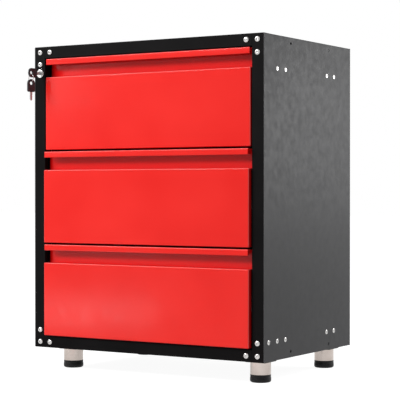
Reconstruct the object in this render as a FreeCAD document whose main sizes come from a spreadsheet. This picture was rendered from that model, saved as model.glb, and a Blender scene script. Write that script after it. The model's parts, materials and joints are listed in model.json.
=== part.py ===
import FreeCAD, Part
import math
import os

import Sketcher

# A free-standing steel tool cabinet with three finger-pull drawers and central locking.
# All lengths are in millimetres and all angles in degrees. The row frame has +Z up, +X to the right
# as one faces the cabinet, and +Y to the back. Its origin lies on the floor, in the middle of the
# space that the cabinet and its keys take.

doc = FreeCAD.newDocument("ToolCabinet")
sheet = doc.addObject("Spreadsheet::Sheet", "Sizes")


class Size:
    """A length or an angle: its value, and the formula by which it follows the sheet."""

    def __init__(self, value, formula):
        self.value = float(value)
        self.formula = formula

    def joined(self, other, value, form):
        return Size(value, form.format(self.formula, other.formula))

    def __add__(self, other):
        other = as_size(other)
        return self.joined(other, self.value + other.value, "({} + {})")

    def __sub__(self, other):
        other = as_size(other)
        return self.joined(other, self.value - other.value, "({} - {})")

    def __mul__(self, other):
        other = as_size(other)
        return self.joined(other, self.value * other.value, "({} * {})")

    def __truediv__(self, other):
        other = as_size(other)
        return self.joined(other, self.value / other.value, "({} / {})")

    def __radd__(self, other):
        return as_size(other) + self

    def __rsub__(self, other):
        return as_size(other) - self

    def __rmul__(self, other):
        return as_size(other) * self

    def __neg__(self):
        return as_size(0) - self


def as_size(number):
    return number if isinstance(number, Size) else Size(number, f"({number!r})")


def cosine(angle):
    angle = as_size(angle)
    return Size(math.cos(math.radians(angle.value)), f"cos({angle.formula} * 1 deg)")


def sine(angle):
    angle = as_size(angle)
    return Size(math.sin(math.radians(angle.value)), f"sin({angle.formula} * 1 deg)")


def size(alias, number, meaning):
    """Write one driving size into the sheet and return it."""
    row = size.rows = size.rows + 1
    sheet.set(f"A{row}", meaning)
    sheet.set(f"B{row}", str(number))
    sheet.setAlias(f"B{row}", alias)
    return Size(number, f"Sizes.{alias}")


size.rows = 0

# Carcass
width = size("width", 680, "body width over the side panels")
depth = size("depth", 460, "body depth from frame face to back panel")
body_height = size("body_height", 775, "body height without the feet")
leg_height = size("leg_height", 58, "floor to the body's underside")
steel = size("steel", 1.2, "sheet thickness of the carcass and of the drawer fronts")
bend = size("bend", 2.5, "outer radius of a fold in the sheet")
flange = size("flange", 20, "width of a panel's folded flange")
stile_width = size("stile_width", 33.3, "outside of the cabinet to the opening's side")
rail_height = size("rail_height", 30, "height of the top and bottom rails")
frame_fold = size("frame_fold", 27, "depth of the folds of stiles and rails")
fit_gap = size("fit_gap", 0.3, "clearance between pieces that pass or slide")

# Front frame's corner plates and screws
plate_steel = size("plate_steel", 2, "thickness of the corner plates")
plate_reach = size("plate_reach", 64, "how far a corner plate reaches along its rail")
plate_drop = size("plate_drop", 54, "how far a corner plate reaches along its stile")
corner_side = size("corner_side", 18, "corner screw from the side")
corner_end = size("corner_end", 14.5, "corner screw from the top or bottom")
corner_step = size("corner_step", 30.6, "corner screw to its two neighbours")
frame_head = size("frame_head", 13.8, "head diameter of a frame screw")
frame_head_rise = size("frame_head_rise", 3.3, "height of a frame screw's head")
frame_shank = size("frame_shank", 6, "shank diameter of a frame screw")
frame_screw_length = size("frame_screw_length", 8, "length of a frame screw under its head")
socket = size("socket", 4, "width across flats of the hexagon sockets")
socket_share = size("socket_share", 0.7, "depth of a socket as a share of its head's height")

# Side screws and joining holes
side_head = size("side_head", 12, "head diameter of a side screw")
side_head_rise = size("side_head_rise", 2, "height of a side screw's head")
side_shank = size("side_shank", 5, "shank diameter of a side screw")
side_screw_length = size("side_screw_length", 7, "length of a side screw under its head")
upper_row = size("upper_row", 80, "upper row of side screws below the top")
lower_row = size("lower_row", 46, "lower row of side screws above the bottom")
stile_screw = size("stile_screw", 21, "screw through the side into the stile, from the front")
join_hole = size("join_hole", 7.5, "diameter of the holes that join cabinets")
join_front = size("join_front", 132.6, "front joining hole from the front")
join_pitch = size("join_pitch", 203.1, "front joining hole to the rear one")
join_edge = size("join_edge", 15, "joining hole from the top or bottom")

# Worktop holes and back rivets
worktop_hole = size("worktop_hole", 7, "diameter of the worktop's fixing holes")
worktop_width = size("worktop_width", 560, "worktop holes, left to right")
worktop_depth = size("worktop_depth", 320, "worktop holes, front to back")
rivet_head = size("rivet_head", 8, "head diameter of a back rivet")
rivet_rise = size("rivet_rise", 1.2, "height of a rivet's head")
rivet_shank = size("rivet_shank", 4, "shank diameter of a rivet")
rivet_rows = size("rivet_rows", 5, "number of rivets in each side panel's flange")
rivet_margin = size("rivet_margin", 55, "first and last rivet from the top and bottom")

# Uprights that carry the runners
upright_width = size("upright_width", 67, "front to back width of an upright")
upright_front = size("upright_front", 83.5, "middle of the front uprights from the front")
upright_rear = size("upright_rear", 343.5, "middle of the rear uprights from the front")
upright_pair = size("upright_pair", 41, "spacing of the two screws in an upright")
upright_lip = size("upright_lip", 15, "width of an upright's lips")

# Drawers
drawer_count = 3
edge_gap = size("edge_gap", 2, "gap above the first front and below the last")
front_gap = size("front_gap", 4.5, "gap between two fronts")
side_gap = size("side_gap", 3.2, "gap beside a front")
closed_proud = size("closed_proud", 2, "how far a closed front stands out of the frame")
ajar = size("ajar", 8, "how far the two lower drawers stand open at rest")
recess_depth = size("recess_depth", 28, "depth of a front and of its finger recess")
recess_height = size("recess_height", 47, "top of a front to its recess's floor")
lip_height = size("lip_height", 14.8, "height of the finger lip")
lip_inset = size("lip_inset", 2.2, "finger lip's end from the front's side")
tray_steel = size("tray_steel", 1, "sheet thickness of a tray")
tray_lift = size("tray_lift", 12, "underside of a tray above its front's lower edge")
tray_drop = size("tray_drop", 22, "rim of a tray below its front's upper edge")
tray_rim = size("tray_rim", 9, "width of the tray's inward rim")
back_room = size("back_room", 24, "room behind a closed tray")

# Runners, as sections seen from the front. Each member is an upright channel
runner_inset = size("runner_inset", 32, "outside of the cabinet to a runner")
runner_room = size("runner_room", 12.7, "width that a runner takes")
runner_height = size("runner_height", 45, "height of a runner")
runner_steel = size("runner_steel", 1.2, "sheet thickness of a runner")
runner_level = size("runner_level", 100, "middle of a runner above its front's lower edge")
runner_start = size("runner_start", 44, "front end of a runner behind the frame's face")
runner_length = size("runner_length", 385, "length of a runner")
member_step = size("member_step", 3.4, "height between one member's flange and the next")
member_gap = size("member_gap", 1.8, "width between the webs of two members")
flange_gap = size("flange_gap", 0.7, "room at the open edge of a member's flanges")
glide_length = size("glide_length", 180, "length of a glide strip")

# Lock, lock bar and catches
lock_side = size("lock_side", 18, "lock from the cabinet's left side")
lock_drop = size("lock_drop", 68.5, "lock below the body's top")
rosette = size("rosette", 22, "diameter of the lock's rosette")
rosette_rise = size("rosette_rise", 2.5, "how far the rosette stands out")
lock_barrel = size("lock_barrel", 17, "diameter of the lock's barrel")
lock_length = size("lock_length", 21, "length of the barrel behind the frame's face")
plug_bore = size("plug_bore", 12, "diameter of the plug")
nut_flats = size("nut_flats", 22, "width across flats of the lock's nut")
nut_height = size("nut_height", 4, "thickness of the lock's nut")
cam_steel = size("cam_steel", 2.5, "thickness of the cam")
cam_reach = size("cam_reach", 8, "plug's axis to the cam's pin")
cam_swing = size("cam_swing", 45, "cam's angle below the level at rest")
cam_rim = size("cam_rim", 2, "width of the cam round its pin")
pin = size("pin", 4, "diameter of the cam's pin")
slot_gap = size("slot_gap", 0.5, "clearance of the pin in the bar's slot")
bar_steel = size("bar_steel", 3, "thickness of the lock bar")
bar_front = size("bar_front", 31, "front face of the lock bar behind the frame's face")
bar_side = size("bar_side", 4.5, "lock bar's outer edge from the cabinet's side")
bar_width = size("bar_width", 24, "width of the lock bar")
bar_rise = size("bar_rise", 20, "lock bar's upper end above the lock at rest")
hook_reach = size("hook_reach", 13, "how far a hook reaches from the bar")
hook_height = size("hook_height", 9, "height of a hook and of a catch")
catch_level = size("catch_level", 180, "middle of a catch above its front's lower edge")
catch_steel = size("catch_steel", 2, "thickness of a catch")
catch_reach = size("catch_reach", 8, "how far a catch stands out from its tray")
catch_foot = size("catch_foot", 25, "length of a catch's foot along the tray")
guide_height = size("guide_height", 12, "height of a bar guide")
guide_wall = size("guide_wall", 2.5, "wall of a bar guide before and behind the bar")
guide_level = size("guide_level", 116, "underside of a bar guide above its front's lower edge")
bar_tail = size("bar_tail", 20, "lock bar's lower end below the last guide")

# Keys and ring
blade = size("blade", 7, "height of a key's blade")
blade_steel = size("blade_steel", 2.2, "thickness of a key's blade")
blade_cut = size("blade_cut", 1, "depth of the cuts in a key's blade")
blade_length = size("blade_length", 22, "length of a key's blade out of its bow")
blade_show = size("blade_show", 16, "key's bow in front of the frame's face")
bow_length = size("bow_length", 33, "length of a key's bow along the blade")
bow_width = size("bow_width", 24, "width of a key's bow")
bow_thick = size("bow_thick", 4, "thickness of a key's bow")
bow_share = size("bow_share", 0.48, "radius of a bow's rounded end as a share of its width")
bow_root = size("bow_root", 4, "corner radius at the root of a key's bow")
bow_hole = size("bow_hole", 9, "diameter of the hole in a key's bow")
ring_play = size("ring_play", 0.7, "play between the ring and a bow's hole")
hole_inset = size("hole_inset", 10.5, "hole from the end of the bow")
ring_wire = size("ring_wire", 1.8, "wire diameter of the key ring")
ring_round = size("ring_round", 21, "diameter of the key ring to the wire's middle")
ring_turn = size("ring_turn", 19, "ring's turn from the frame, about the vertical")
spare_turn = size("spare_turn", 12, "spare key's turn from the first key, about the vertical")

# Legs and feet
foot_side = size("foot_side", 58.6, "middle of a foot from the cabinet's side")
foot_front = size("foot_front", 87.6, "middle of the front feet from the front")
foot_rear = size("foot_rear", 34, "middle of the rear feet from the back")
leg_plate = size("leg_plate", 60, "side of the square mounting plate")
leg_plate_high = size("leg_plate_high", 10.2, "height of the moulded mounting plate")
leg_plate_round = size("leg_plate_round", 6, "corner radius of the mounting plate")
leg_plate_rim = size("leg_plate_rim", 3, "radius of the mounting plate's lower edge")
leg_bore = size("leg_bore", 5.5, "holes in the mounting plate")
leg_screws = size("leg_screws", 43, "spacing of the mounting plate's holes")
tube = size("tube", 50.6, "outer diameter of the leg tube")
tube_wall = size("tube_wall", 2, "wall of the leg tube")
nut_plate = size("nut_plate", 8, "thickness of the threaded disc in the tube")
cap = size("cap", 51.5, "diameter of the foot cap")
cap_height = size("cap_height", 19, "height of the foot cap")
cap_round = size("cap_round", 5, "radius of the foot cap's lower rim")
cap_tread = size("cap_tread", 10.5, "height of the foot cap's widest part")
cap_slope = size("cap_slope", 1.9, "height of the bevel above the widest part")
cap_step = size("cap_step", 0.6, "how far the foot cap's collar is set in")
stem = size("stem", 10, "diameter of the foot's stem")
stem_rise = size("stem_rise", 26, "stem above the foot cap")

# Places that follow from the sizes above
key_reach = blade_show + bow_length
front_face = (key_reach - depth) / 2
opening_height = body_height - 2 * rail_height
front_count = as_size(drawer_count)
front_height = (opening_height - 2 * edge_gap - (front_count - 1) * front_gap) / front_count
front_width = width - 2 * (stile_width + side_gap)
tray_width = width - 2 * (runner_inset + runner_room)
panel_height = front_height - recess_height
tray_height = front_height - tray_lift - tray_drop
tray_length = depth - steel - back_room - recess_depth + closed_proud
upright_depth = runner_inset - steel
lock_level = body_height - lock_drop
pin_across = cam_reach * cosine(cam_swing)
pin_drop = cam_reach * sine(cam_swing)
bar_lift = 2 * pin_drop
catch_front = bar_front + bar_steel + slot_gap
top_inside = body_height - 2 * steel
tube_top = -(leg_plate_high - steel)

SIDES = {"left": -1, "right": 1}


def drawer_bottom(number):
    """Height of a drawer front's lower edge above the body's underside."""
    below = front_count - number
    return rail_height + edge_gap + below * (front_height + front_gap)


def drawer_rest(number):
    """How far a drawer stands open at rest: the first is shut and the other two are ajar."""
    return as_size(0) if number == 1 else ajar


def numbered(text, number):
    return f"{text}_{number}"


# Building blocks

pieces = {}
ROLES = {"XY": "XY_Plane", "XZ": "XZ_Plane", "YZ": "YZ_Plane"}


def place(body, x, y, z):
    """Put a body's own frame at a point of the row frame."""
    for axis, distance in zip("xyz", (x, y, z)):
        body.setExpression(f"Placement.Base.{axis}", as_size(distance).formula)


def new_body(label, exported=True):
    """A body, which is a node by itself unless it goes into a compound."""
    body = doc.addObject("PartDesign::Body", label)
    body.Label = label
    if exported:
        pieces[label] = body
    return body


def carcass_body(label, exported=True):
    """A body whose frame is the cabinet's middle, at the frame's face and the body's underside."""
    body = new_body(label, exported)
    place(body, 0, front_face, leg_height)
    return body


def new_sketch(body, plane, offset=0):
    """A sketch on a principal plane of its body, moved along the plane's normal."""
    sketch = body.newObject("Sketcher::SketchObject", "Profile")
    planes = [p for p in body.Origin.OriginFeatures if p.Role == ROLES[plane]]
    sketch.AttachmentSupport = [(planes[0], "")]
    sketch.MapMode = "FlatFace"
    along = -as_size(offset) if plane == "XZ" else as_size(offset)
    sketch.setExpression("AttachmentOffset.Base.z", along.formula)
    return sketch


def pin_point(sketch, element, position, point):
    """Fix a point of the sketch at two signed distances from its origin."""
    for kind, distance in zip(("DistanceX", "DistanceY"), point):
        distance = as_size(distance)
        fixed = Sketcher.Constraint(kind, -1, 1, element, position, distance.value)
        index = sketch.addConstraint(fixed)
        sketch.setExpression(f"Constraints[{index}]", distance.formula)


def vector(point):
    return FreeCAD.Vector(as_size(point[0]).value, as_size(point[1]).value, 0)


def draw_outline(sketch, points):
    """A closed outline of straight lines through the points."""
    first = sketch.GeometryCount
    count = len(points)
    for i in range(count):
        line = Part.LineSegment(vector(points[i]), vector(points[(i + 1) % count]))
        sketch.addGeometry(line, False)
    for i in range(count):
        after = first + (i + 1) % count
        sketch.addConstraint(Sketcher.Constraint("Coincident", first + i, 2, after, 1))
        pin_point(sketch, first + i, 1, points[i])


def draw_circle(sketch, point, diameter):
    diameter = as_size(diameter)
    normal = FreeCAD.Vector(0, 0, 1)
    circle = Part.Circle(vector(point), normal, diameter.value / 2)
    element = sketch.addGeometry(circle, False)
    pin_point(sketch, element, 3, point)
    index = sketch.addConstraint(Sketcher.Constraint("Diameter", element, diameter.value))
    sketch.setExpression(f"Constraints[{index}]", diameter.formula)


def rectangle(u, v):
    """The corners of a rectangle between two distances each way."""
    return [(u[0], v[0]), (u[1], v[0]), (u[1], v[1]), (u[0], v[1])]


def hexagon(flats):
    """The corners of a hexagon about the sketch's origin, from its width across flats."""
    radius = flats / (2 * cosine(30))
    return [(radius * cosine(60 * i), radius * sine(60 * i)) for i in range(6)]


def extrude(body, kind, sketch, length, reverse=False, both=False):
    feature = body.newObject(kind, kind.split("::")[1])
    feature.Profile = sketch
    feature.Reversed = reverse
    feature.Midplane = both
    if length is None:
        feature.Type = 1
    else:
        feature.setExpression("Length", as_size(length).formula)
    body.Tip = feature
    return feature


def pad(body, plane, outline, offset, length, reverse=False, both=False):
    sketch = new_sketch(body, plane, offset)
    draw_outline(sketch, outline)
    return extrude(body, "PartDesign::Pad", sketch, length, reverse, both)


def pocket(body, plane, outline, offset, length, reverse=False, both=False):
    """Cut an outline into the body, and make sure that something was cut."""
    sketch = new_sketch(body, plane, offset)
    draw_outline(sketch, outline)
    return cut(body, sketch, length, reverse, both)


def drill(body, plane, points, diameter, offset, length, reverse=False, both=False):
    """Cut round holes of one diameter."""
    sketch = new_sketch(body, plane, offset)
    for point in points:
        draw_circle(sketch, point, diameter)
    return cut(body, sketch, length, reverse, both)


def cut(body, sketch, length, reverse, both):
    doc.recompute()
    before = body.Shape.Volume
    feature = extrude(body, "PartDesign::Pocket", sketch, length, reverse, both)
    doc.recompute()
    if not body.Shape.Volume < before:
        raise ValueError(f"{body.Label}: a cut removed nothing")
    return feature


def disc(body, plane, point, diameter, offset, length, reverse=False):
    sketch = new_sketch(body, plane, offset)
    draw_circle(sketch, point, diameter)
    return extrude(body, "PartDesign::Pad", sketch, length, reverse)


def edges_along(body, axis, spots):
    """Names of the straight edges along one axis that run through the given places."""
    names = []
    across = [a for a in "xyz" if a != axis]
    shape = body.Tip.Shape
    for i, edge in enumerate(shape.Edges):
        ends = [v.Point for v in edge.Vertexes]
        if len(ends) != 2 or not isinstance(edge.Curve, Part.Line):
            continue
        for spot in spots:
            wanted = [as_size(s).value for s in spot]
            misses = [
                abs(getattr(end, a) - w) for end in ends for a, w in zip(across, wanted)
            ]
            if max(misses) < 1e-4:
                names.append(f"Edge{i + 1}")
    return names


def fold(body, axis, spots, radius):
    """Round the edges along one axis, as a folded sheet is round."""
    doc.recompute()
    base = body.Tip
    names = edges_along(body, axis, spots)
    if not names:
        raise ValueError(f"{body.Label}: no edge to round along {axis}")
    fillet = body.newObject("PartDesign::Fillet", "Fold")
    fillet.Base = (base, names)
    fillet.setExpression("Radius", as_size(radius).formula)
    body.Tip = fillet
    doc.recompute()
    return fillet


def rims(shape, axis, distance):
    """Names of the round edges in the plane at a distance along one axis."""
    level = as_size(distance).value
    names = []
    for i, edge in enumerate(shape.Edges):
        ends = [vertex.Point for vertex in edge.Vertexes]
        if len(ends) == 1 and abs(getattr(ends[0], axis) - level) < 1e-4:
            names.append(f"Edge{i + 1}")
    return names


def dress_rim(body, kind, axis, distance, prop, amount):
    """Round or chamfer the round edges in one plane across an axis."""
    doc.recompute()
    base = body.Tip
    names = rims(base.Shape, axis, distance)
    if not names:
        raise ValueError(f"{body.Label}: no rim to dress along {axis}")
    feature = body.newObject(f"PartDesign::{kind}", "Rim")
    feature.Base = (base, names)
    feature.setExpression(prop, as_size(amount).formula)
    body.Tip = feature
    doc.recompute()
    return feature


def compound(label, shapes):
    """One node of several separate solids."""
    group = doc.addObject("Part::Feature", label)
    group.Label = label
    group.Shape = Part.makeCompound(shapes)
    pieces[label] = group
    return group


def scatter(label, prototype, places):
    """One node of separate equal solids: copies of a prototype at several places."""
    doc.recompute()
    copies = []
    for x, y, z, turn in places:
        spot = FreeCAD.Vector(*(as_size(d).value for d in (x, y, z)))
        copy = prototype.Shape.copy()
        copy.Placement = FreeCAD.Placement(spot, turn)
        copies.append(copy)
    return compound(label, copies)


def join(label, bodies):
    """One node of several bodies, each a solid of its own."""
    doc.recompute()
    return compound(label, [body.Shape.copy() for body in bodies])


def turn_about(axis, degrees):
    return FreeCAD.Rotation(FreeCAD.Vector(*axis), degrees)


NO_TURN = turn_about((0, 0, 1), 0)


# Side panels

UPRIGHTS = {"front": upright_front, "rear": upright_rear}
SCREW_ROWS = (lower_row, body_height - upper_row)


def side_screw_spots():
    """Depth and height of every screw in a side panel."""
    spots = [(stile_screw, lower_row)]
    for level in SCREW_ROWS:
        for middle in UPRIGHTS.values():
            for half in (-0.5, 0.5):
                spots.append((middle + half * upright_pair, level))
    return spots


def joining_hole_spots():
    depths = (join_front, join_front + join_pitch)
    levels = (join_edge, body_height - join_edge)
    return [(y, z) for y in depths for z in levels]


def rivet_spots(side):
    """Places of the back's rivets in the flange of one side panel."""
    count = int(round(rivet_rows.value))
    step = (body_height - 2 * rivet_margin) / (count - 1)
    column = side * (width / 2 - flange / 2)
    return [(column, rivet_margin + i * step) for i in range(count)]


def build_side_panel(name, side):
    """A panel folded inwards at the top, the bottom and the back, open at the front."""
    outer = side * width / 2
    inner = side * (width / 2 - steel)
    reach = side * (width / 2 - flange)
    back = depth - steel
    body = carcass_body(f"side_panel_{name}")
    channel = [
        (outer, 0),
        (reach, 0),
        (reach, steel),
        (inner, steel),
        (inner, body_height - steel),
        (reach, body_height - steel),
        (reach, body_height),
        (outer, body_height),
    ]
    pad(body, "XZ", channel, back, back)
    fold(body, "y", [(outer, 0), (outer, body_height)], bend)
    notch = rectangle((inner, reach), (0, frame_fold))
    pocket(body, "XY", notch, body_height, None)
    edge = rectangle((inner, reach), (steel, body_height - steel))
    pad(body, "XZ", edge, back, steel)
    middle = side * width / 2
    drill(body, "YZ", side_screw_spots(), side_shank + 2 * fit_gap, middle, 4 * steel, both=True)
    drill(body, "YZ", joining_hole_spots(), join_hole, middle, 4 * steel, both=True)
    drill(body, "XZ", rivet_spots(side), rivet_shank + 2 * fit_gap, back, 4 * steel, both=True)
    return body


# Panels between the sides

def build_top_panel():
    """A panel under the sides' top flanges, folded down at the back, with the worktop's holes."""
    half = width / 2 - steel
    back = depth - 2 * steel
    body = carcass_body("top_panel")
    pad(body, "XY", rectangle((-half, half), (frame_fold, back)), top_inside, steel)
    fold_down = rectangle((-half, half), (back - steel, back))
    pad(body, "XY", fold_down, top_inside, flange, reverse=True)
    middle = (frame_fold + back) / 2
    spots = [
        (i * worktop_width / 2, middle + j * worktop_depth / 2) for i in (-1, 1) for j in (-1, 1)
    ]
    drill(body, "XY", spots, worktop_hole, top_inside + 2 * steel, 3 * steel)
    return body


def build_bottom_panel():
    """A panel on the sides' bottom flanges, folded up at the back."""
    half = width / 2 - steel
    back = depth - 2 * steel
    body = carcass_body("bottom_panel")
    pad(body, "XY", rectangle((-half, half), (frame_fold, back)), steel, steel)
    pad(body, "XY", rectangle((-half, half), (back - steel, back)), 2 * steel, flange)
    return body


def build_back_panel():
    body = carcass_body("back_panel")
    half = width / 2
    pad(body, "XZ", rectangle((-half, half), (0, body_height)), depth, steel)
    spots = [spot for side in SIDES.values() for spot in rivet_spots(side)]
    drill(body, "XZ", spots, rivet_shank + 2 * fit_gap, depth, 4 * steel, both=True)
    return body


def build_back_rivets():
    """Rivets with their heads behind the back panel and their shanks through the flanges."""
    rivet = new_body("rivet", exported=False)
    disc(rivet, "XZ", (0, 0), rivet_head, 0, rivet_rise, reverse=True)
    disc(rivet, "XZ", (0, 0), rivet_shank, 0, 3 * steel)
    back = front_face + depth
    spots = [spot for side in SIDES.values() for spot in rivet_spots(side)]
    places = [(x, back, leg_height + z, NO_TURN) for x, z in spots]
    return scatter("back_rivets", rivet, places)


# Front frame

def frame_screw_spots(across, up):
    """The three screws of one corner, as seen from the front: across and up are -1 or 1."""
    middle = body_height / 2
    side = width / 2 - corner_side
    end = middle - corner_end
    return [
        (across * side, middle + up * end),
        (across * (side - corner_step), middle + up * end),
        (across * side, middle + up * (end - corner_step)),
    ]


CORNERS = [(across, up) for across in (-1, 1) for up in (-1, 1)]


def build_stile(name, side):
    """A channel inside the side panel: face, outer fold and the opening's fold, closed at its ends."""
    outer = side * (width / 2 - steel)
    outer_in = side * (width / 2 - 2 * steel)
    inner = side * (width / 2 - stile_width)
    inner_in = side * (width / 2 - stile_width + steel)
    body = carcass_body(f"stile_{name}")
    channel = [
        (outer, 0),
        (inner, 0),
        (inner, frame_fold),
        (inner_in, frame_fold),
        (inner_in, steel),
        (outer_in, steel),
        (outer_in, frame_fold),
        (outer, frame_fold),
    ]
    pad(body, "XY", channel, 0, body_height)
    fold(body, "z", [(inner, 0)], bend / 2)
    for level in (0, body_height - rail_height):
        notch = rectangle((inner, inner_in), (steel, frame_fold))
        pocket(body, "XY", notch, level, rail_height, reverse=True)
    for level in (0, body_height - steel):
        pad(body, "XY", rectangle((outer, inner), (0, frame_fold)), level, steel)
    spots = []
    for up in (-1, 1):
        corner, _, third = frame_screw_spots(side, up)
        spots += [corner, third]
    drill(body, "XZ", spots, frame_shank + 2 * fit_gap, 0, 4 * steel, both=True)
    screw = [(stile_screw, lower_row)]
    drill(body, "YZ", screw, side_shank + 2 * fit_gap, outer, 4 * steel, both=True)
    if name == "left":
        spot = [(-(width / 2 - lock_side), lock_level)]
        drill(body, "XZ", spot, lock_barrel + 2 * fit_gap, 0, 4 * steel, both=True)
    return body


def build_rail(name, low, high):
    """A channel between the stiles: face and two folds that run back."""
    half = width / 2 - stile_width
    body = carcass_body(f"rail_{name}")
    channel = [
        (0, low),
        (0, high),
        (frame_fold, high),
        (frame_fold, high - steel),
        (steel, high - steel),
        (steel, low + steel),
        (frame_fold, low + steel),
        (frame_fold, low),
    ]
    pad(body, "YZ", channel, 0, 2 * half, both=True)
    opening_edge = high if name == "bottom" else low
    fold(body, "x", [(0, opening_edge)], bend / 2)
    up = -1 if name == "bottom" else 1
    spots = [frame_screw_spots(across, up)[1] for across in (-1, 1)]
    drill(body, "XZ", spots, frame_shank + 2 * fit_gap, 0, 4 * steel, both=True)
    return body


def build_corner_plates():
    """Four angle plates behind the frame's corners. The screws are threaded into them."""
    plate = new_body("corner_plate", exported=False)
    left = 2 * steel + fit_gap
    right = stile_width - steel - fit_gap
    low = steel + fit_gap
    high = rail_height - steel - fit_gap
    outline = [
        (left, low),
        (plate_reach, low),
        (plate_reach, high),
        (right, high),
        (right, plate_drop),
        (left, plate_drop),
    ]
    pad(plate, "XZ", outline, 0, plate_steel, reverse=True)
    spots = [
        (corner_side, corner_end),
        (corner_side + corner_step, corner_end),
        (corner_side, corner_end + corner_step),
    ]
    drill(plate, "XZ", spots, frame_shank + fit_gap, 0, 4 * plate_steel, both=True)
    doc.recompute()
    plates = []
    back = front_face + steel
    for across, up in CORNERS:
        copy = plate.Shape.copy()
        if across > 0:
            copy = copy.mirror(FreeCAD.Vector(), FreeCAD.Vector(1, 0, 0))
        if up > 0:
            copy = copy.mirror(FreeCAD.Vector(), FreeCAD.Vector(0, 0, 1))
        x = across * width / 2
        z = leg_height + (body_height if up > 0 else 0)
        copy.translate(FreeCAD.Vector(x.value, back.value, z.value))
        plates.append(copy)
    return compound("corner_plates", plates)


def build_screw(label, head, rise, shank, length):
    """A screw along Y with its head in front of the origin and a hexagon socket in it."""
    screw = new_body(label, exported=False)
    disc(screw, "XZ", (0, 0), head, 0, rise)
    disc(screw, "XZ", (0, 0), shank, 0, length, reverse=True)
    dress_rim(screw, "Chamfer", "y", -rise, "Size", rise / 2)
    pocket(screw, "XZ", hexagon(socket), -rise, rise * socket_share)
    return screw


def build_frame_screws():
    screw = build_screw("frame_screw", frame_head, frame_head_rise, frame_shank, frame_screw_length)
    places = []
    for across, up in CORNERS:
        for x, z in frame_screw_spots(across, up):
            places.append((x, front_face, leg_height + z, NO_TURN))
    return scatter("frame_screws", screw, places)


def build_side_screws():
    screw = build_screw("side_screw", side_head, side_head_rise, side_shank, side_screw_length)
    places = []
    for side in SIDES.values():
        turn = turn_about((0, 0, 1), 90 * side)
        for y, z in side_screw_spots():
            places.append((side * width / 2, front_face + y, leg_height + z, turn))
    return scatter("side_screws", screw, places)


# Uprights and runners

def build_upright(place_name, middle, name, side):
    """A channel with two lips: its web is screwed to the side panel, its lips carry runners."""
    outer = width / 2 - steel
    inner = width / 2 - runner_inset
    front = middle - upright_width / 2
    back = middle + upright_width / 2
    body = carcass_body(f"upright_{place_name}_{name}")
    section = [
        (side * outer, front),
        (side * inner, front),
        (side * inner, front + upright_lip),
        (side * (inner + steel), front + upright_lip),
        (side * (inner + steel), front + steel),
        (side * (outer - steel), front + steel),
        (side * (outer - steel), back - steel),
        (side * (inner + steel), back - steel),
        (side * (inner + steel), back - upright_lip),
        (side * inner, back - upright_lip),
        (side * inner, back),
        (side * outer, back),
    ]
    pad(body, "XY", section, 2 * steel, body_height - 4 * steel)
    spots = [
        (middle + half * upright_pair, level) for half in (-0.5, 0.5) for level in SCREW_ROWS
    ]
    web = side * (outer - steel / 2)
    drill(body, "YZ", spots, side_shank + 2 * fit_gap, web, 2 * steel, both=True)
    return body


def channel_section(side, web, open_edge, half_height):
    """A runner member's section. Distances across run from the cabinet's side towards the tray."""
    towards = 1 if open_edge.value > web.value else -1
    at_web = side * (width / 2 - web)
    inside = side * (width / 2 - web - towards * runner_steel)
    at_edge = side * (width / 2 - open_edge)
    low = half_height - runner_steel
    return [
        (at_web, -half_height),
        (at_edge, -half_height),
        (at_edge, -low),
        (inside, -low),
        (inside, low),
        (at_edge, low),
        (at_edge, half_height),
        (at_web, half_height),
    ]


# Half heights over the flanges of the cabinet member, the middle member and the drawer member
outer_half = runner_height / 2
middle_half = outer_half - runner_steel - member_step
inner_half = middle_half - runner_steel - member_step
# Where the three webs stand, and where the flanges end, from the cabinet's side
outer_web = runner_inset
middle_web = outer_web + runner_steel + member_gap
inner_web = runner_inset + runner_room
outer_edge = inner_web - runner_steel
middle_edge = inner_web - flange_gap
inner_edge = middle_web + runner_steel + flange_gap
outer_end = outer_edge - flange_gap / 2


def build_runner_member(label, number, section, forward, exported=True):
    body = new_body(label, exported)
    level = leg_height + drawer_bottom(number) + runner_level
    place(body, 0, front_face + runner_start - forward, level)
    pad(body, "XZ", section, 0, runner_length, reverse=True)
    return body


def build_runner(number, name, side):
    """The cabinet member and the middle member of one runner."""
    cabinet = channel_section(side, outer_web, outer_end, outer_half)
    label = numbered(f"cabinet_runner_{name}", number)
    build_runner_member(label, number, cabinet, as_size(0))
    middle = channel_section(side, middle_web, middle_edge, middle_half)
    label = numbered(f"middle_runner_{name}", number)
    build_runner_member(label, number, middle, drawer_rest(number) / 2)


def build_drawer_runners(number):
    """The two members that are screwed to the tray's sides, as one node of two solids."""
    members = []
    for name, side in SIDES.items():
        section = channel_section(side, inner_web, inner_edge, inner_half)
        label = numbered(f"drawer_member_{name}", number)
        members.append(build_runner_member(label, number, section, drawer_rest(number), exported=False))
    join(numbered("drawer_runners", number), members)


def build_runner_glides(number):
    """Nylon strips clipped to the middle members. The rear ones slide in the cabinet members and
    the front ones carry the drawer members, so both stay covered when the drawer is out."""
    strips = []
    level = leg_height + drawer_bottom(number) + runner_level
    start = front_face + runner_start - drawer_rest(number) / 2
    rear = runner_length - glide_length
    thick = member_step - fit_gap
    under = middle_half - runner_steel
    rear_row = (rear, (middle_half, middle_half + thick), (middle_web + runner_steel, outer_end))
    front_row = (0, (under - thick, under), (middle_web + 2 * runner_steel, middle_edge))
    for side in SIDES.values():
        for along, heights, depths in (rear_row, front_row):
            across = [side * (width / 2 - depth_in) for depth_in in depths]
            for up in (-1, 1):
                strip = new_body("glide", exported=False)
                place(strip, 0, start + along, level)
                section = rectangle(across, [up * height for height in heights])
                pad(strip, "XZ", section, 0, glide_length, reverse=True)
                strips.append(strip)
    join(numbered("runner_glides", number), strips)


# Drawers

def drawer_body(label, number):
    """A body in a drawer's frame: middle of the front's lower edge, at the front's face."""
    body = new_body(numbered(label, number))
    out = closed_proud + drawer_rest(number)
    place(body, 0, front_face - out, leg_height + drawer_bottom(number))
    return body


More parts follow.
